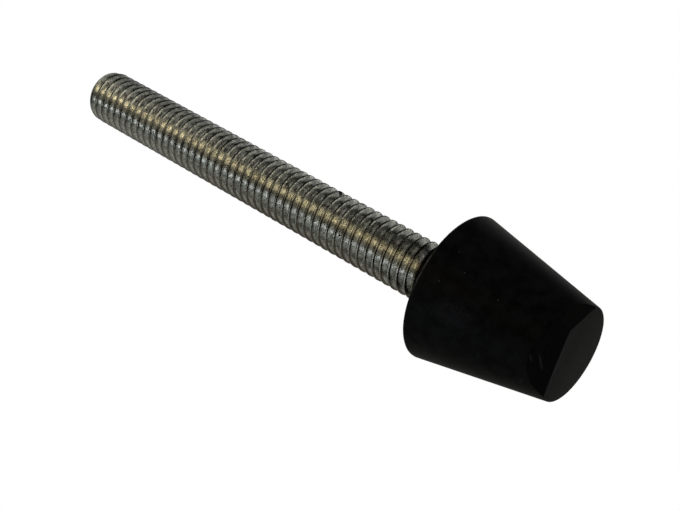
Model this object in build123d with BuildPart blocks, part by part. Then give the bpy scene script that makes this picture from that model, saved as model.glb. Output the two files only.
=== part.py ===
import os
from math import cos, radians, sin

from build123d import *

# Conical rubber mount on a fully threaded steel stud.
# Millimetres. The origin is the centre of the flat nose face and +Z runs up along the stud.

# Rubber body
nose_radius = 4.73              # flat nose face that bears on the surface below
back_radius = 7.42              # wide back face, where the stud comes out
rubber_height = 13.5            # from the nose face to the back face
nose_edge_radius = 0.15         # moulded edges are all but sharp
back_edge_radius = 0.2

# Stud with an M6 x 1 thread
crest_radius = 2.95             # the bare stud, drawn over the crests of its thread
pitch_radius = 2.675            # the buried stud, whose thread grooves are full of rubber
mouth_taper = 0.3               # the rubber's mouth closes on the crests over this depth
stud_projection = 50.0          # from the rubber's back face to the stud's tip
tip_chamfer = 0.6               # 45 degree lead on the free end

# Anchor head on the stud's buried end
head_radius = 4.4
head_thickness = 2.0
head_edge_chamfer = 0.3
rubber_under_head = 4.6         # rubber left between the head and the nose face

# Two flat cuts that pare the edge of the nose, side by side.
# Each has a direction round +Z from +X in degrees, a distance from the axis to the cut
# on the nose face, and a height up the side at which the cut runs out.
long_cut_direction = -109.0
long_cut_distance = 2.9
long_cut_height = 1.9
short_cut_direction = -48.0
short_cut_distance = 3.85
short_cut_height = 1.0

# Places along the axis
head_top = rubber_under_head + head_thickness
stud_tip = rubber_height + stud_projection

os.makedirs("parts", exist_ok=True)

# Stud: one turned piece, a flat round head and a shank up to the chamfered tip
with BuildPart() as threaded_stud:
    with BuildSketch(Plane.XZ) as stud_section:
        with BuildLine() as stud_outline:
            Polyline(
                (0, rubber_under_head),
                (head_radius, rubber_under_head),
                (head_radius, head_top),
                (pitch_radius, head_top),
                (pitch_radius, rubber_height - mouth_taper),
                (crest_radius, rubber_height),
                (crest_radius, stud_tip),
                (0, stud_tip),
                close=True,
            )
        make_face()
        head_rim = stud_section.vertices().group_by(Axis.X)[-1]
        chamfer(head_rim, length=head_edge_chamfer)
        tip_rim = stud_section.vertices().group_by(Axis.Y)[-1].sort_by(Axis.X)[-1]
        chamfer(tip_rim, length=tip_chamfer)
    revolve(axis=Axis.Z)

# Rubber body: a tapered plug moulded round the head and the first turns of the thread
with BuildPart() as rubber_body:
    with BuildSketch(Plane.XZ) as rubber_section:
        with BuildLine() as rubber_outline:
            Polyline(
                (0, 0),
                (nose_radius, 0),
                (back_radius, rubber_height),
                (0, rubber_height),
                close=True,
            )
        make_face()
        nose_corner = rubber_section.vertices().group_by(Axis.Y)[0].sort_by(Axis.X)[-1]
        fillet(nose_corner, radius=nose_edge_radius)
        back_corner = rubber_section.vertices().group_by(Axis.Y)[-1].sort_by(Axis.X)[-1]
        fillet(back_corner, radius=back_edge_radius)
    revolve(axis=Axis.Z)

    # Pared edge of the nose: each cut takes off a wedge along a chord of the nose face.
    # It meets the tapered side where that has widened to cut_reach.
    side_slope = (back_radius - nose_radius) / rubber_height
    for direction, distance, height in (
        (long_cut_direction, long_cut_distance, long_cut_height),
        (short_cut_direction, short_cut_distance, short_cut_height),
    ):
        cut_reach = nose_radius + side_slope * height
        cut_run = cut_reach - distance
        angle = radians(direction)
        cut_plane = Plane(
            origin=(0, 0, 0),
            x_dir=(cos(angle), sin(angle), 0),
            z_dir=(sin(angle), -cos(angle), 0),
        )
        with BuildSketch(cut_plane) as cut_section:
            with BuildLine() as cut_outline:
                Polyline(
                    (distance - cut_run, -height),
                    (distance + 2 * cut_run, 2 * height),
                    (distance + 2 * cut_run, -height),
                    close=True,
                )
            make_face()
        extrude(amount=back_radius, both=True, mode=Mode.SUBTRACT)

    # Cavity: the rubber is bonded to every face of the stud that it covers
    add(threaded_stud.part, mode=Mode.SUBTRACT)

threaded_stud.part.label = "threaded_stud"
rubber_body.part.label = "rubber_body"

export_step(threaded_stud.part, "parts/threaded_stud.step")
export_step(rubber_body.part, "parts/rubber_body.step")
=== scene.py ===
from math import atan, cos, pi, radians, sin, tan

import bpy
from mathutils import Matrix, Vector


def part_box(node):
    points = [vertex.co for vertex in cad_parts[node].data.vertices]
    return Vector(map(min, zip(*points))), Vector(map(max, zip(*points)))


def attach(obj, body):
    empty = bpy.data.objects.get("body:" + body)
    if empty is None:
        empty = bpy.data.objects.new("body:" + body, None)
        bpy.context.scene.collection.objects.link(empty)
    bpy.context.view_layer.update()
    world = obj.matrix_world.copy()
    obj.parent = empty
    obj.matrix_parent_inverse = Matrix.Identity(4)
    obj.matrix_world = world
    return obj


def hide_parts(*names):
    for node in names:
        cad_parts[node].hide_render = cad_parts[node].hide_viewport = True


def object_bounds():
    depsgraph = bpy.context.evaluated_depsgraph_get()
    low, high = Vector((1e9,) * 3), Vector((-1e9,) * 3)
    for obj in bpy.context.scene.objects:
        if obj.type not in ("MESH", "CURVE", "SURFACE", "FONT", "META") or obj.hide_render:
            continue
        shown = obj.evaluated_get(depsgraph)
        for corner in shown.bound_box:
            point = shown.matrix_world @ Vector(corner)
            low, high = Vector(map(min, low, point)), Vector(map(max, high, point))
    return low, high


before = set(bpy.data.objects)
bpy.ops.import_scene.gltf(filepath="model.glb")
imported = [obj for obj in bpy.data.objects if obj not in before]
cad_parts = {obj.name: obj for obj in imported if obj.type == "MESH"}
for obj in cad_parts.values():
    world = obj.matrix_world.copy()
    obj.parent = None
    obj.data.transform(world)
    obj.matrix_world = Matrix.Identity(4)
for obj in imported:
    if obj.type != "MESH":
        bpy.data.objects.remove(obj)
cad_low, cad_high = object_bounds()

# Camera
# It stands low on the nose side of the mount, a hand's width away, and is rolled so that
# the stud runs from the upper left of the picture down to the rubber at the lower right.
MM = 0.001
camera_place = (0.0, -105.53 * MM, -37.88 * MM)
camera_turn = (radians(140.505), radians(47.876), radians(43.410))
camera_lens = 66.225
bpy.ops.object.camera_add(location=camera_place, rotation=camera_turn)
camera = bpy.context.object
camera.name = "camera"
camera.data.sensor_width = 36.0
camera.data.lens = camera_lens
camera.data.clip_start = 1 * MM
bpy.context.scene.camera = camera


# Threaded stud
# A length of rolled M6 x 1 steel thread, zinc plated and dulled by handling. Its buried end
# has a plain shank and a flat round head, and the rubber is moulded on over both.
stud_low, stud_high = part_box("threaded_stud")
rubber_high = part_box("rubber_body")[1]
pitch = 1.0 * MM
crest_radius = 2.95 * MM
half_angle = radians(30)
pitch_radius = 2.675 * MM
flank_radius = 2.62 * MM
sharp_height = pitch / 2 / tan(half_angle)
root_rounding = 0.1 * MM
crest_rounding = 0.03 * MM
thread_phase = 0.87
steps_per_turn = 72
buried_thread = 0.6 * MM
tip_height = stud_high.z
mouth_height = rubber_high.z
head_bottom = stud_low.z
head_thickness = 2.0 * MM
head_radius = stud_high.x
tip_chamfer = 0.6 * MM
faced_off = 0.01 * MM
same_place = 0.001 * MM
hair = 0.0001 * MM


def edit(obj):
    """Opens one object, and nothing else, in edit mode with nothing in it selected."""
    bpy.ops.object.select_all(action="DESELECT")
    bpy.context.view_layer.objects.active = obj
    obj.select_set(True)
    bpy.ops.object.mode_set(mode="EDIT")
    bpy.ops.mesh.select_all(action="DESELECT")


def select(obj, kind, keep):
    """Selects the edges or faces of the open object for which keep says yes."""
    bpy.ops.object.mode_set(mode="OBJECT")
    mesh = obj.data
    for part in (mesh.vertices, mesh.edges, mesh.polygons):
        part.foreach_set("select", [False] * len(part))
    if kind == "EDGE":
        for edge in mesh.edges:
            edge.select = all(keep(mesh.vertices[i].co) for i in edge.vertices)
    else:
        for face in mesh.polygons:
            face.select = keep(face.center, face.normal)
    bpy.ops.object.mode_set(mode="EDIT")
    bpy.ops.mesh.select_mode(type=kind)


def close(obj):
    """Leaves edit mode with the doubles merged and every face pointing outwards."""
    bpy.ops.mesh.select_mode(type="VERT")
    bpy.ops.mesh.select_all(action="SELECT")
    bpy.ops.mesh.remove_doubles(threshold=same_place)
    bpy.ops.mesh.normals_make_consistent(inside=False)
    bpy.ops.object.mode_set(mode="OBJECT")


def lathe_ring(radius, height, vertices):
    """Adds one open ring round the axis at the given height, and leaves it in edit mode."""
    bpy.ops.object.select_all(action="DESELECT")
    bpy.ops.mesh.primitive_circle_add(vertices=vertices, radius=radius)
    obj = bpy.context.object
    bpy.ops.object.mode_set(mode="EDIT")
    bpy.ops.mesh.select_all(action="SELECT")
    bpy.ops.transform.translate(value=(0, 0, height))
    return obj


def draw_on(from_radius, from_height, to_radius, to_height):
    """Carries the selected ring on to its next radius and height."""
    bpy.ops.mesh.extrude_edges_move(
        TRANSFORM_OT_translate={"value": (0, 0, to_height - from_height)}
    )
    share = to_radius / from_radius
    bpy.ops.transform.resize(value=(share, share, 1), center_override=(0, 0, to_height))


# Thread outline over one pitch, from one root to the next: a rounded root, a straight flank,
# a small rounding, the crest, and the same again on the way down.
sharp_root = flank_radius - sharp_height / 2
root_centre = sharp_root + root_rounding / sin(half_angle)
outline = []
for turn in (0, 20, 40, 60):
    angle = radians(turn)
    outline.append((root_rounding * sin(angle), root_centre - root_rounding * cos(angle)))
flank_start = outline[-1][1]
flank_end = crest_radius - crest_rounding
for share in (0.35, 0.7):
    radius = flank_start + (flank_end - flank_start) * share
    outline.append(((radius - sharp_root) * tan(half_angle), radius))
outline.append(((flank_end - sharp_root) * tan(half_angle), flank_end))
crest_start = (crest_radius - sharp_root) * tan(half_angle) + 0.3 * crest_rounding
outline.append((crest_start, crest_radius - 0.1 * crest_rounding))
outline.append((pitch / 2, crest_radius))
outline += [(pitch - along, radius) for along, radius in reversed(outline[:-1])]

# The outline is screwed up from two turns below the thread's end to past the tip. The phase
# sets which way the thread's start faces.
turns = int((tip_height - mouth_height + buried_thread) / pitch) + 4
thread_start = mouth_height - buried_thread - 2 * pitch
thread_start += (thread_phase - thread_start / pitch % 1) * pitch

bpy.ops.object.select_all(action="DESELECT")
bpy.ops.mesh.primitive_plane_add(size=pitch)
stud = bpy.context.object
stud.name = "steel_stud"
bpy.ops.object.mode_set(mode="EDIT")
bpy.ops.mesh.select_all(action="SELECT")
bpy.ops.mesh.merge(type="CENTER")
bpy.ops.transform.translate(value=(outline[0][1], 0, thread_start))
for (along, radius), (next_along, next_radius) in zip(outline, outline[1:]):
    step = (next_radius - radius, 0, next_along - along)
    bpy.ops.mesh.extrude_vertices_move(TRANSFORM_OT_translate={"value": step})
bpy.ops.object.mode_set(mode="OBJECT")
screw = stud.modifiers.new("thread", "SCREW")
screw.axis = "Z"
screw.angle = 2 * pi
screw.screw_offset = pitch
screw.iterations = turns
screw.steps = screw.render_steps = steps_per_turn
screw.use_smooth_shade = True
bpy.ops.object.modifier_apply(modifier=screw.name)

# The blank is cut off a little above the tip, and below the rubber's mouth. A bisect takes
# points within its threshold as on the plane, so it gets one finer than the thread.
edit(stud)
bpy.ops.mesh.select_all(action="SELECT")
bpy.ops.mesh.remove_doubles(threshold=same_place)
cut_height = tip_height + 0.2 * MM
thread_bottom = mouth_height - buried_thread
for height, outwards in ((cut_height, 1), (thread_bottom, -1)):
    bpy.ops.mesh.select_all(action="SELECT")
    bpy.ops.mesh.bisect(
        plane_co=(0, 0, height), plane_no=(0, 0, outwards), clear_outer=True, threshold=hair
    )
select(stud, "EDGE", lambda place: place.z > cut_height - same_place)
bpy.ops.mesh.edge_face_add()
bpy.ops.object.mode_set(mode="OBJECT")

# The shank and head: rings drawn down from below the thread, and the thread bridged to them.
lathe_ring(pitch_radius, thread_bottom - pitch / 2, steps_per_turn)
head_top = head_bottom + head_thickness
head_edge = 0.3 * MM
rings = [
    (pitch_radius, thread_bottom - pitch / 2),
    (pitch_radius, head_top),
    (head_radius - head_edge, head_top),
    (head_radius, head_top - head_edge),
    (head_radius, head_bottom + head_edge),
    (head_radius - head_edge, head_bottom),
]
for (radius, height), (next_radius, next_height) in zip(rings, rings[1:]):
    draw_on(radius, height, next_radius, next_height)
bpy.ops.mesh.edge_face_add()
bpy.ops.object.mode_set(mode="OBJECT")
stud.select_set(True)
bpy.context.view_layer.objects.active = stud
bpy.ops.object.join()
edit(stud)
bpy.ops.mesh.select_mode(type="EDGE")
bpy.ops.mesh.select_non_manifold(extend=False)
bpy.ops.mesh.bridge_edge_loops()
close(stud)

# The tip is faced and chamfered: what lies outside this bell shape is turned away. The bell
# is flat over the face, curves down over the chamfer, and then stands clear of the crests.
clearance = 3 * MM
bell_rings = [
    (0.3 * MM, tip_height - faced_off),
    (crest_radius - tip_chamfer, tip_height - faced_off),
    (crest_radius - 0.45 * tip_chamfer, tip_height - 0.3 * tip_chamfer),
    (crest_radius - 0.15 * tip_chamfer, tip_height - 0.9 * tip_chamfer),
    (crest_radius + 0.1 * MM, tip_height - 2.2 * tip_chamfer),
    (crest_radius + clearance, tip_height - 3 * tip_chamfer),
    (crest_radius + clearance, head_bottom - 1 * MM),
]
bell = lathe_ring(*bell_rings[0], steps_per_turn)
bpy.ops.mesh.edge_face_add()
for (radius, height), (next_radius, next_height) in zip(bell_rings, bell_rings[1:]):
    draw_on(radius, height, next_radius, next_height)
bpy.ops.mesh.edge_face_add()
close(bell)
facing_cut = stud.modifiers.new("facing_cut", "BOOLEAN")
facing_cut.operation = "INTERSECT"
facing_cut.object = bell
bpy.ops.object.select_all(action="DESELECT")
bpy.context.view_layer.objects.active = stud
stud.select_set(True)
bpy.ops.object.modifier_apply(modifier=facing_cut.name)
bpy.data.objects.remove(bell)

# Rolling and handling leave the crests and flanks slightly uneven.
uneven = bpy.data.textures.new("rolled_unevenness", "CLOUDS")
uneven.noise_scale = 0.5 * MM
uneven.noise_depth = 2
dents = stud.modifiers.new("unevenness", "DISPLACE")
dents.texture = uneven
dents.texture_coords = "LOCAL"
dents.mid_level = 0.62
dents.strength = 0.02 * MM
bpy.ops.object.select_all(action="DESELECT")
bpy.context.view_layer.objects.active = stud
stud.select_set(True)
bpy.ops.object.modifier_apply(modifier=dents.name)
bpy.ops.object.shade_smooth_by_angle(angle=radians(38))


class Recipe:
    """A material's node tree, with short calls that add a node and wire it up."""

    def __init__(self, name):
        self.material = bpy.data.materials.new(name)
        self.material.use_nodes = True
        self.tree = self.material.node_tree
        self.shader = self.tree.nodes["Principled BSDF"]
        self.place = self.tree.nodes.new("ShaderNodeTexCoord").outputs["Object"]

    def wire(self, value, socket):
        """Links a node's output to the socket, or sets a plain value on it."""
        if hasattr(value, "is_output"):
            self.tree.links.new(value, socket)
        else:
            socket.default_value = value

    def math(self, operation, first, second=0.0):
        node = self.tree.nodes.new("ShaderNodeMath")
        node.operation = operation
        self.wire(first, node.inputs[0])
        self.wire(second, node.inputs[1])
        return node.outputs[0]

    def plus(self, first, second):
        return self.math("ADD", first, second)

    def minus(self, first, second):
        return self.math("SUBTRACT", first, second)

    def times(self, first, second):
        return self.math("MULTIPLY", first, second)

    def apart(self, first, second):
        """How far two values are from each other."""
        return self.math("ABSOLUTE", self.minus(first, second))

    def scaled(self, source, size):
        """Coordinates in which the given length, or the length on each axis, is one unit."""
        node = self.tree.nodes.new("ShaderNodeVectorMath")
        node.operation = "DIVIDE"
        self.wire(source, node.inputs[0])
        node.inputs[1].default_value = size if hasattr(size, "__len__") else (size, size, size)
        return node.outputs[0]

    def noise(self, coordinates, detail, roughness):
        node = self.tree.nodes.new("ShaderNodeTexNoise")
        node.inputs["Scale"].default_value = 1.0
        node.inputs["Detail"].default_value = detail
        node.inputs["Roughness"].default_value = roughness
        self.wire(coordinates, node.inputs["Vector"])
        return node.outputs["Fac"]

    def flecks(self, coordinates):
        """One random value for each small cell of the surface."""
        node = self.tree.nodes.new("ShaderNodeTexVoronoi")
        node.inputs["Scale"].default_value = 1.0
        self.wire(coordinates, node.inputs["Vector"])
        return self.split(node.outputs["Color"])[0]

    def ramp(self, value, low, high, to_low=0.0, to_high=1.0):
        """Runs from to_low to to_high while the value runs from low to high."""
        node = self.tree.nodes.new("ShaderNodeMapRange")
        self.wire(value, node.inputs["Value"])
        node.inputs["From Min"].default_value = low
        node.inputs["From Max"].default_value = high
        node.inputs["To Min"].default_value = to_low
        node.inputs["To Max"].default_value = to_high
        return node.outputs["Result"]

    def mix(self, share, first, second):
        """The first colour, with the given share of the second over it."""
        node = self.tree.nodes.new("ShaderNodeMix")
        node.data_type = "RGBA"
        self.wire(share, node.inputs["Factor"])
        self.wire(first, node.inputs["A"])
        self.wire(second, node.inputs["B"])
        return node.outputs["Result"]

    def mark(self, centre, size, turn=(0.0, 0.0, 0.0)):
        """A patch with the given middle, half lengths and turn, one inside and zero outside."""
        node = self.tree.nodes.new("ShaderNodeMapping")
        node.vector_type = "TEXTURE"
        self.wire(self.place, node.inputs["Vector"])
        node.inputs["Location"].default_value = centre
        node.inputs["Rotation"].default_value = turn
        node.inputs["Scale"].default_value = size
        reach = self.tree.nodes.new("ShaderNodeVectorMath")
        reach.operation = "LENGTH"
        self.wire(node.outputs[0], reach.inputs[0])
        return self.ramp(reach.outputs["Value"], 0.6, 1.0, 1.0, 0.0)

    def bump(self, height, distance, strength):
        node = self.tree.nodes.new("ShaderNodeBump")
        node.inputs["Distance"].default_value = distance
        node.inputs["Strength"].default_value = strength
        self.wire(height, node.inputs["Height"])
        self.tree.links.new(node.outputs["Normal"], self.shader.inputs["Normal"])

    def split(self, vector):
        node = self.tree.nodes.new("ShaderNodeSeparateXYZ")
        self.wire(vector, node.inputs[0])
        return node.outputs

    def join(self, x, y, z):
        node = self.tree.nodes.new("ShaderNodeCombineXYZ")
        for value, socket in zip((x, y, z), node.inputs):
            self.wire(value, socket)
        return node.outputs[0]


# The places on the stud: `around` is the angle from the side that faces the camera, and grows
# towards the stud's upper edge in the picture, `out` is the distance from the axis, and `up` is
# the height unrolled along the helix, both in millimetres. The crests then lie just above each
# whole millimetre of `up`, with their edges towards the nose close to it.
zinc = Recipe("zinc_plate")
x, y, z = zinc.split(zinc.scaled(zinc.place, MM))
around = zinc.math("ARCTAN2", x, zinc.times(y, -1.0))
out = zinc.math("SQRT", zinc.plus(zinc.times(x, x), zinc.times(y, y)))
up = zinc.minus(z, zinc.times(around, pitch / MM / (2 * pi)))
helix = zinc.join(zinc.times(around, crest_radius / MM), up, out)
streak_size = (0.9, 0.07, 0.07)
stroke_size = (0.9, 0.16, 0.25)
fleck_size = (0.2, 0.08, 0.12)
mottle_size = 0.6 * MM
grit_size = 0.12 * MM
streaks = zinc.noise(zinc.scaled(helix, streak_size), 4.0, 0.65)
strokes = zinc.flecks(zinc.scaled(helix, stroke_size))
flecks = zinc.flecks(zinc.scaled(helix, fleck_size))
mottle = zinc.noise(zinc.scaled(zinc.place, mottle_size), 3.0, 0.6)
grit = zinc.noise(zinc.scaled(zinc.place, grit_size), 1.0, 0.5)

# The plate is mottled from clean to dull. Two bands along the stud, the upper one near the
# rubber and the one on the lower edge near the tip, are lighter: partly wiped zinc, partly
# painted light.
clean_zinc = (0.66, 0.66, 0.63, 1)
dull_zinc = (0.16, 0.16, 0.15, 1)
upper_band = zinc.ramp(zinc.apart(around, radians(57)), radians(8), radians(18), 1.0, 0.0)
lower_edge = zinc.ramp(around, radians(-58), radians(-36), 1.0, 0.0)
wiped_and_lit = zinc.plus(
    zinc.times(upper_band, zinc.ramp(z, 34, 50, 0.55, 0.05)),
    zinc.times(lower_edge, zinc.ramp(z, 32, 54, 0.0, 0.9)),
)
cloud = zinc.plus(zinc.times(mottle, 0.5), zinc.times(streaks, 0.5))
tone = zinc.plus(zinc.times(zinc.ramp(cloud, 0.38, 0.62), 0.65), zinc.times(flecks, 0.35))
tone = zinc.times(tone, zinc.minus(1.0, wiped_and_lit))
flank = zinc.mix(tone, clean_zinc, dull_zinc)

# The crests carry painted light and shade: on the lower side they are painted lighter grey as a
# painted highlight, and on the upper side they are dull and painted dark as painted shade.
# There only the edge towards the nose is bare, painted bright as painted glints.
lit_crest = (0.25, 0.25, 0.24, 1)
dull_shaded_crest = (0.03, 0.03, 0.027, 1)
bare_crest_glint = (1, 0.98, 0.9, 1)
lower_side = zinc.ramp(around, radians(-10), radians(10), 1.0, 0.0)
crest = zinc.mix(lower_side, dull_shaded_crest, lit_crest)
on_crest = zinc.ramp(out, 2.82, 2.9)
worn_and_lit = zinc.mix(on_crest, flank, crest)
from_edge = zinc.apart(zinc.math("FRACT", zinc.plus(up, 0.5)), 0.5)
# Painted glints: the bare zinc line is bright only in the narrow band round where the highlight
# falls.
glint_line = zinc.times(
    zinc.ramp(from_edge, 0.015, 0.035, 1.0, 0.0), zinc.ramp(z, 36, 54, 1.0, 0.35)
)
glint_places = zinc.times(
    zinc.ramp(flecks, 0.3, 0.5, 1.0, 0.0), zinc.ramp(around, radians(2), radians(14))
)
worn_and_lit = zinc.mix(zinc.times(glint_line, glint_places), worn_and_lit, bare_crest_glint)

# The roots are darkened, partly dirt and partly painted shade in the grooves. The darkening is
# thinner where the stud was handled, most of all near the tip, and it stays off the end face of
# the tip.
root_dirt_and_shade = (0.1, 0.08, 0.05, 1)
handled = zinc.times(
    zinc.ramp(zinc.apart(around, radians(28)), radians(14), radians(32), 1.0, 0.0),
    zinc.ramp(z, 16, 58, 0.2, 1.0),
)
tip_face = tip_height / MM
on_thread = zinc.ramp(z, tip_face - 0.2, tip_face - 0.1, 1.0, 0.0)
in_root = zinc.ramp(out, 2.28, 2.33, 1.0, 0.0)
dirt_and_shade = zinc.times(zinc.times(on_thread, in_root), zinc.minus(1.0, zinc.times(handled, 0.9)))
dirty_and_shaded = zinc.mix(dirt_and_shade, worn_and_lit, root_dirt_and_shade)

# A thin brown line, partly grime and partly painted shade, lies by the crests of the lower
# side, wider on the lower edge.
grime_and_shade = (0.1, 0.08, 0.055, 1)
from_shade_line = zinc.minus(from_edge, zinc.times(lower_edge, 0.03))
grime_shade_line = zinc.times(
    zinc.ramp(from_shade_line, 0.015, 0.05, 1.0, 0.0),
    zinc.times(lower_side, zinc.ramp(z, 36, 54, 0.85, 0.3)),
)
grimy_and_shaded = zinc.mix(grime_shade_line, dirty_and_shaded, grime_and_shade)

# Next to the rubber the thread is painted dark as painted shade and a painted reflection of the
# black rubber, and blackest in the groove above it that shows past the rubber's edge.
mouth_shade = (0.02, 0.018, 0.014, 1)
by_rubber = zinc.times(
    zinc.ramp(up, 16.16, 16.24, 1.0, 0.0), zinc.ramp(up, 15.8, 15.9, 0.6, 1.0)
)
grimy_and_shaded = zinc.mix(by_rubber, grimy_and_shaded, mouth_shade)

# Bare scuffs run along the thread where it was handled, most of them by the roots.
bare_zinc = (1, 1, 0.97, 1)
root_middle = 0.66
from_root = zinc.apart(zinc.math("FRACT", up), root_middle)
scuff_share = zinc.times(handled, zinc.ramp(from_root, 0.12, 0.28, 1.0, 0.35))
long_and_short = zinc.math(
    "MAXIMUM", zinc.ramp(strokes, 0.36, 0.42, 0.85, 0.0), zinc.ramp(flecks, 0.1, 0.15, 1.0, 0.0)
)
scuffs = zinc.times(zinc.times(on_thread, scuff_share), long_and_short)
scuffed = zinc.mix(scuffs, grimy_and_shaded, bare_zinc)

# Fine grit and three larger pits, each given by its middle and its reach
pit_dirt = (0.04, 0.035, 0.025, 1)
pits = zinc.ramp(grit, 0.62, 0.67)
for middle, reach in (
    ((2.87, -0.38, 29.14), 0.48),
    ((-0.95, -2.3, 25.7), 0.16),
    ((-0.93, -2.7, 22.0), 0.14),
):
    pit = zinc.mark(Vector(middle) * MM, (reach * MM, reach * MM, reach * MM))
    pits = zinc.math("MAXIMUM", pits, pit)
zinc.wire(zinc.mix(pits, scuffed, pit_dirt), zinc.shader.inputs["Base Color"])
zinc.wire(1.0, zinc.shader.inputs["Metallic"])

# The metal is smoother near the tip, the scuffs and the pits are rougher.
polish = zinc.times(zinc.ramp(streaks, 0.3, 0.7, 0.13, 0.26), zinc.ramp(z, 34, 56, 1.0, 0.7))
dullness = zinc.plus(zinc.times(scuffs, 0.2), zinc.times(pits, 0.6))
zinc.wire(zinc.plus(polish, dullness), zinc.shader.inputs["Roughness"])
zinc.bump(zinc.plus(streaks, zinc.times(grit, 0.7)), 0.012 * MM, 0.7)
stud.data.materials.clear()
stud.data.materials.append(zinc.material)
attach(stud, "root")
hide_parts("threaded_stud")


# Rubber body
# A tapered plug of soft black rubber, moulded on the stud in an open two-part mould. The nose
# is cut flat, and its edge has been pared by two short slanting cuts.
nose_radius = 4.73 * MM
back_radius = 7.42 * MM
rubber_height = rubber_high.z
nose_edge = 0.15 * MM
back_edge = 0.2 * MM
side_count = 144
ring_gap = 0.3 * MM
mouth_taper = 0.3 * MM
side_lean = atan((back_radius - nose_radius) / rubber_height)
# Each cut has a direction in degrees round from +X, a distance from the axis on the nose face,
# and a height up the side at which it runs out.
pared = [(-109.0, 2.9 * MM, 1.9 * MM), (-48.0, 3.85 * MM, 1.0 * MM)]

bpy.ops.object.select_all(action="DESELECT")
bpy.ops.mesh.primitive_cone_add(
    vertices=side_count,
    radius1=nose_radius,
    radius2=back_radius,
    depth=rubber_height,
    location=(0, 0, rubber_height / 2),
)
rubber = bpy.context.object
rubber.name = "moulded_rubber"
bpy.ops.object.transform_apply(location=True)
edit(rubber)
select(rubber, "FACE", lambda centre, normal: normal.z > 0.9)
bpy.ops.mesh.inset(thickness=back_radius - crest_radius)
# The cavity follows the stud: the mouth closes on the crests, then come the shank and the head.
rings = [
    (crest_radius, rubber_height),
    (pitch_radius, rubber_height - mouth_taper),
    (pitch_radius, head_top),
    (head_radius, head_top),
    (head_radius, head_bottom),
]
for (radius, height), (next_radius, next_height) in zip(rings, rings[1:]):
    bpy.ops.mesh.extrude_region_move(
        TRANSFORM_OT_translate={"value": (0, 0, next_height - height)}
    )
    share = next_radius / radius
    bpy.ops.transform.resize(value=(share, share, 1), center_override=(0, 0, next_height))
# The nose and back edges are rounded. Each bevel starts where its round leaves the faces.
select(rubber, "EDGE", lambda place: place.z < 0.01 * MM)
bpy.ops.mesh.bevel(offset=nose_edge / tan(pi / 4 + side_lean / 2), segments=3)
select(
    rubber,
    "EDGE",
    lambda place: place.z > rubber_height - 0.01 * MM and place.xy.length > 0.9 * back_radius,
)
bpy.ops.mesh.bevel(offset=back_edge / tan(pi / 4 - side_lean / 2), segments=3)
# Each cut pares off a wedge, and its open outline is filled with one flat face.
cuts = []
for direction, distance, height in pared:
    reach = nose_radius + (back_radius - nose_radius) / rubber_height * height
    angle = radians(direction)
    slant = atan((reach - distance) / height)
    cut_normal = Vector((cos(angle) * cos(slant), sin(angle) * cos(slant), -sin(slant)))
    cuts.append((cut_normal, distance * cos(slant)))
    bpy.ops.mesh.select_all(action="SELECT")
    bpy.ops.mesh.bisect(
        plane_co=(distance * cos(angle), distance * sin(angle), 0),
        plane_no=cut_normal,
        clear_outer=True,
        threshold=hair,
    )
    bpy.ops.mesh.select_all(action="DESELECT")
    bpy.ops.mesh.select_non_manifold(extend=False)
    bpy.ops.mesh.edge_face_add()
# Rings round the side give the shading of the taper enough points.
height = ring_gap
while height < rubber_height - ring_gap:
    bpy.ops.mesh.select_all(action="SELECT")
    bpy.ops.mesh.bisect(plane_co=(0, 0, height), plane_no=(0, 0, 1), threshold=hair)
    height += ring_gap
close(rubber)
bpy.ops.object.shade_smooth_by_angle(angle=radians(30))

# The skin is near black under a faint cloudy bloom. The cut nose face is greyer, partly its own
# cut colour and partly painted light on the face turned to the light, and the two pared faces
# are plain.
black = Recipe("black_rubber")
deep_skin = (0.0001, 0.0001, 0.0002, 1)
bloomed_skin = (0.0016, 0.0017, 0.0022, 1)
cut_nose_and_light = (0.0056, 0.0056, 0.0061, 1)
pared_rubber = (0.0012, 0.0012, 0.0012, 1)
grain_size = 0.25 * MM
bloom_size = 1.1 * MM
grain = black.noise(black.scaled(black.place, grain_size), 4.0, 0.6)
bloom = black.noise(black.scaled(black.place, bloom_size), 4.0, 0.6)
skin = black.mix(black.ramp(bloom, 0.38, 0.62), deep_skin, bloomed_skin)
above_nose = black.split(black.scaled(black.place, MM))[2]
on_nose = black.ramp(above_nose, 0.02, 0.06, 1.0, 0.0)
# The nose face is painted greyer: its cut colour, with painted light on it.
rubber_marks_and_light = black.mix(on_nose, skin, cut_nose_and_light)
for cut_normal, cut_distance in cuts:
    across = black.tree.nodes.new("ShaderNodeVectorMath")
    across.operation = "DOT_PRODUCT"
    black.wire(black.place, across.inputs[0])
    across.inputs[1].default_value = cut_normal
    off_cut = black.apart(across.outputs["Value"], cut_distance)
    on_cut = black.ramp(off_cut, 0.01 * MM, 0.03 * MM, 1.0, 0.0)
    rubber_marks_and_light = black.mix(on_cut, rubber_marks_and_light, pared_rubber)

# The sharp edge along the longer cut is painted grey as a painted highlight, and so, unevenly,
# is the moulded back edge in front of the stud, as a painted sheen.
cut_edge_highlight = (0.016, 0.016, 0.016, 1)
back_edge_sheen = (0.033, 0.03, 0.022, 1)
long_cut_turn = radians(pared[0][0])
long_cut_distance = pared[0][1]
cut_edge = black.mark(
    (long_cut_distance * cos(long_cut_turn), long_cut_distance * sin(long_cut_turn), 0),
    (3.7 * MM, 0.07 * MM, 0.07 * MM),
    (0, 0, long_cut_turn + pi / 2),
)
rubber_marks_and_light = black.mix(cut_edge, rubber_marks_and_light, cut_edge_highlight)
by_stud = black.mark((0, -7.15 * MM, 13.38 * MM), (3.0 * MM, 0.6 * MM, 0.16 * MM))
by_stud = black.times(by_stud, black.ramp(grain, 0.42, 0.6, 0.25, 1.0))
rubber_marks_and_light = black.mix(by_stud, rubber_marks_and_light, back_edge_sheen)

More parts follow.
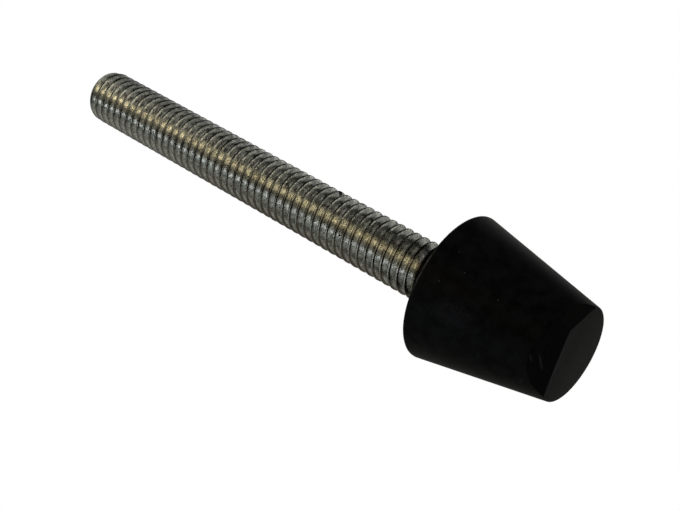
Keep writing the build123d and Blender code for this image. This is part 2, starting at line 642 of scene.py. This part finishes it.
# Handling marks, each from one end to the other with its half width: two creases on the longer
# cut, painted lighter as painted highlights along them, and a scratch beside it
crease_highlight_and_scratch = (0.007, 0.007, 0.007, 1)
for start, end, width in (
    ((-1.25, -4.25, 1.31), (-2.6, -2.97, 0.65), 0.08),
    ((-1.76, -4.78, 1.83), (-2.63, -4.25, 1.37), 0.07),
    ((-4.38, -2.7, 2.08), (-3.93, -3.25, 1.86), 0.07),
):
    start, end = Vector(start) * MM, Vector(end) * MM
    along = end - start
    turn = along.to_track_quat("X", "Z").to_euler()
    crease = black.mark((start + end) / 2, (along.length / 2, 0.5 * MM, width * MM), turn)
    rubber_marks_and_light = black.mix(crease, rubber_marks_and_light, crease_highlight_and_scratch)

# A faint bluish smear down the side, broken up by the skin of the rubber
bluish = (0.0034, 0.0035, 0.0046, 1)
smear = black.mark(
    (-2.05 * MM, -6.2 * MM, 9.1 * MM),
    (1.3 * MM, 1.1 * MM, 4.6 * MM),
    (radians(-14), radians(3), 0),
)
smear = black.times(smear, black.ramp(grain, 0.4, 0.6, 0.2, 1.0))
rubber_marks_and_light = black.mix(smear, rubber_marks_and_light, bluish)

# Four specks of pale dust
pale_dust = (0.03, 0.03, 0.03, 1)
speck_radius = 0.06 * MM
for middle in (
    (3.0, -6.36, 11.56),
    (-0.1, -7.03, 11.55),
    (0.96, -5.9, 6.26),
    (1.64, -6.53, 10.03),
):
    speck = black.mark(Vector(middle) * MM, (speck_radius, speck_radius, speck_radius))
    rubber_marks_and_light = black.mix(speck, rubber_marks_and_light, pale_dust)
black.wire(rubber_marks_and_light, black.shader.inputs["Base Color"])
black.wire(black.ramp(grain, 0.3, 0.7, 0.4, 0.5), black.shader.inputs["Roughness"])
black.wire(0.028, black.shader.inputs["Specular IOR Level"])
black.wire(0.01, black.shader.inputs["Sheen Weight"])
black.bump(grain, 0.01 * MM, 0.5)
rubber.data.materials.clear()
rubber.data.materials.append(black.material)
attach(rubber, "root")
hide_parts("rubber_body")


# Floor and light
# A pale floor under the mount and a white surround. On the camera's side stands a dark booth,
# so that the bright metal has something dark to mirror, and the lamps hang inside it.
bpy.ops.object.select_all(action="DESELECT")
bpy.ops.mesh.primitive_plane_add(size=4.0, location=(0, 0, -0.2 * MM))
floor = bpy.context.object
floor.name = "floor"
# The paper is there for the camera only, and only from above. From below, and to the metal,
# it is clear, and the plain surround shows through it.
paper = bpy.data.materials.new("floor_paper")
paper.use_nodes = True
nodes, links = paper.node_tree.nodes, paper.node_tree.links
nodes.clear()
output = nodes.new("ShaderNodeOutputMaterial")
choose = nodes.new("ShaderNodeMixShader")
clear = nodes.new("ShaderNodeBsdfTransparent")
matt = nodes.new("ShaderNodeBsdfDiffuse")
matt.inputs["Color"].default_value = (0.86, 0.86, 0.86, 1)
ray = nodes.new("ShaderNodeLightPath")
side = nodes.new("ShaderNodeNewGeometry")
front = nodes.new("ShaderNodeMath")
front.operation = "SUBTRACT"
front.use_clamp = True
links.new(ray.outputs["Is Camera Ray"], front.inputs[0])
links.new(side.outputs["Backfacing"], front.inputs[1])
links.new(front.outputs[0], choose.inputs["Fac"])
links.new(clear.outputs[0], choose.inputs[1])
links.new(matt.outputs[0], choose.inputs[2])
links.new(choose.outputs[0], output.inputs["Surface"])
floor.data.materials.append(paper)

# Places round the mount are given by their azimuth from +X and their elevation, in degrees.
studio_middle = Vector((0, 0, (cad_low.z + cad_high.z) / 2))


def towards(azimuth, elevation):
    """The direction from the mount to a place round it."""
    level = cos(radians(elevation))
    return Vector((
        level * cos(radians(azimuth)),
        level * sin(radians(azimuth)),
        sin(radians(elevation)),
    ))


def facing(direction):
    """The turn that points a lamp back at the mount."""
    return direction.to_track_quat("Z", "Y").to_euler()


# The booth is part of a sphere of black cloth, open at the top and on the far side.
black_cloth = bpy.data.materials.new("black_cloth")
black_cloth.use_nodes = True
cloth = black_cloth.node_tree.nodes["Principled BSDF"]
cloth.inputs["Base Color"].default_value = (0.01, 0.01, 0.01, 1)
cloth.inputs["Specular IOR Level"].default_value = 0.0

booth_radius = 0.9
booth_direction = towards(308, -3)
booth_reach = 100
booth_top = 46
bpy.ops.object.select_all(action="DESELECT")
bpy.ops.mesh.primitive_uv_sphere_add(
    segments=64, ring_count=32, radius=booth_radius, location=studio_middle
)
booth = bpy.context.object
booth.name = "booth"
bpy.ops.object.mode_set(mode="EDIT")
bpy.ops.mesh.select_all(action="SELECT")
bpy.ops.mesh.bisect(
    plane_co=studio_middle + booth_direction * booth_radius * cos(radians(booth_reach)),
    plane_no=booth_direction,
    clear_inner=True,
)
bpy.ops.mesh.select_all(action="SELECT")
bpy.ops.mesh.bisect(
    plane_co=studio_middle + Vector((0, 0, booth_radius * sin(radians(booth_top)))),
    plane_no=(0, 0, 1),
    clear_outer=True,
)
bpy.ops.object.mode_set(mode="OBJECT")
booth.data.materials.append(black_cloth)
booth.visible_camera = booth.visible_diffuse = booth.visible_shadow = False

# A scrim round it all: thin grey cloth that lets part of the white through.
scrim_cloth = bpy.data.materials.new("scrim_cloth")
scrim_cloth.use_nodes = True
nodes, links = scrim_cloth.node_tree.nodes, scrim_cloth.node_tree.links
nodes.clear()
output = nodes.new("ShaderNodeOutputMaterial")
gauze = nodes.new("ShaderNodeBsdfTransparent")
gauze.inputs["Color"].default_value = (0.257, 0.257, 0.231, 1)
links.new(gauze.outputs[0], output.inputs["Surface"])
scrim_radius = 1.0
bpy.ops.object.select_all(action="DESELECT")
bpy.ops.mesh.primitive_uv_sphere_add(
    segments=64, ring_count=32, radius=scrim_radius, location=studio_middle
)
scrim = bpy.context.object
scrim.name = "scrim"
scrim.data.materials.append(scrim_cloth)
scrim.visible_camera = scrim.visible_diffuse = scrim.visible_shadow = False

# Soft lamps: azimuth, elevation, width and height in degrees, brightness beside the white of
# the surround, and colour.
lamps = {
    "front_wash": (267, 15, 66, 25, 0.82, (1.0, 0.96, 0.77)),
    "low_wash": (330, -60, 100, 25, 0.35, (0.98, 1.0, 0.88)),
    "cool_lamp": (225, 15, 16, 16, 4.2, (0.9, 0.95, 1.0)),
    "cool_wash": (208, 10, 44, 50, 0.72, (0.93, 1.0, 0.96)),
    "warm_lamp": (275, 15, 20, 16, 3.8, (1.0, 0.84, 0.51)),
    "warm_top": (279, 35, 30, 20, 1.4, (1.0, 0.84, 0.43)),
    "right_lamp": (330, 12, 20, 20, 0.45, (1.0, 0.98, 0.88)),
    "right_wash": (330, 0, 60, 20, 0.61, (0.97, 1.0, 0.93)),
    "warm_low": (300, -60, 60, 20, 0.5, (1.0, 0.9, 0.65)),
    "cool_low": (225, -45, 16, 16, 2.1, (0.94, 1.0, 0.9)),
    "back_lamp": (46, 5, 40, 60, 0.34, (0.96, 1.0, 0.98)),
    "rim_lamp": (50, 38, 44, 30, 0.8, (1.0, 1.0, 1.0)),
    "right_low": (48, -37, 24, 20, 0.18, (0.98, 1.0, 0.94)),
    "left_wash": (138, -5, 70, 90, 0.06, (1.0, 0.98, 0.92)),
}
lamp_distance = 0.4
for name, (azimuth, elevation, width, height, brightness, colour) in lamps.items():
    direction = towards(azimuth, elevation)
    bpy.ops.object.light_add(
        type="AREA",
        location=studio_middle + direction * lamp_distance,
        rotation=facing(direction),
    )
    lamp = bpy.context.object
    lamp.name = name
    lamp.data.shape = "RECTANGLE"
    lamp.data.size = 2 * lamp_distance * tan(radians(width / 2))
    lamp.data.size_y = 2 * lamp_distance * tan(radians(height / 2))
    lamp.data.energy = brightness * pi * lamp.data.size * lamp.data.size_y
    lamp.data.color = colour
    lamp.visible_diffuse = False

# The surround: plain white to the camera and in mirrors, and a little less as light.
world = bpy.data.worlds.new("studio")
bpy.context.scene.world = world
world.use_nodes = True
world.cycles.sampling_method = "NONE"
nodes, links = world.node_tree.nodes, world.node_tree.links
nodes.clear()
output = nodes.new("ShaderNodeOutputWorld")
pick = nodes.new("ShaderNodeMixShader")
plain = nodes.new("ShaderNodeBackground")
plain.inputs["Color"].default_value = (1, 1, 1, 1)
plain.inputs["Strength"].default_value = 0.8
white = nodes.new("ShaderNodeBackground")
white.inputs["Color"].default_value = (1, 1, 1, 1)
white.inputs["Strength"].default_value = 1.0
ray = nodes.new("ShaderNodeLightPath")
seen = nodes.new("ShaderNodeMath")
seen.operation = "ADD"
mirrored = nodes.new("ShaderNodeMath")
mirrored.operation = "ADD"
mirrored.use_clamp = True
links.new(ray.outputs["Is Camera Ray"], seen.inputs[0])
links.new(ray.outputs["Is Glossy Ray"], seen.inputs[1])
links.new(seen.outputs[0], mirrored.inputs[0])
links.new(ray.outputs["Is Transmission Ray"], mirrored.inputs[1])
links.new(mirrored.outputs[0], pick.inputs["Fac"])
links.new(plain.outputs[0], pick.inputs[1])
links.new(white.outputs[0], pick.inputs[2])
links.new(pick.outputs[0], output.inputs["Surface"])

bpy.context.scene.view_settings.view_transform = "Standard"
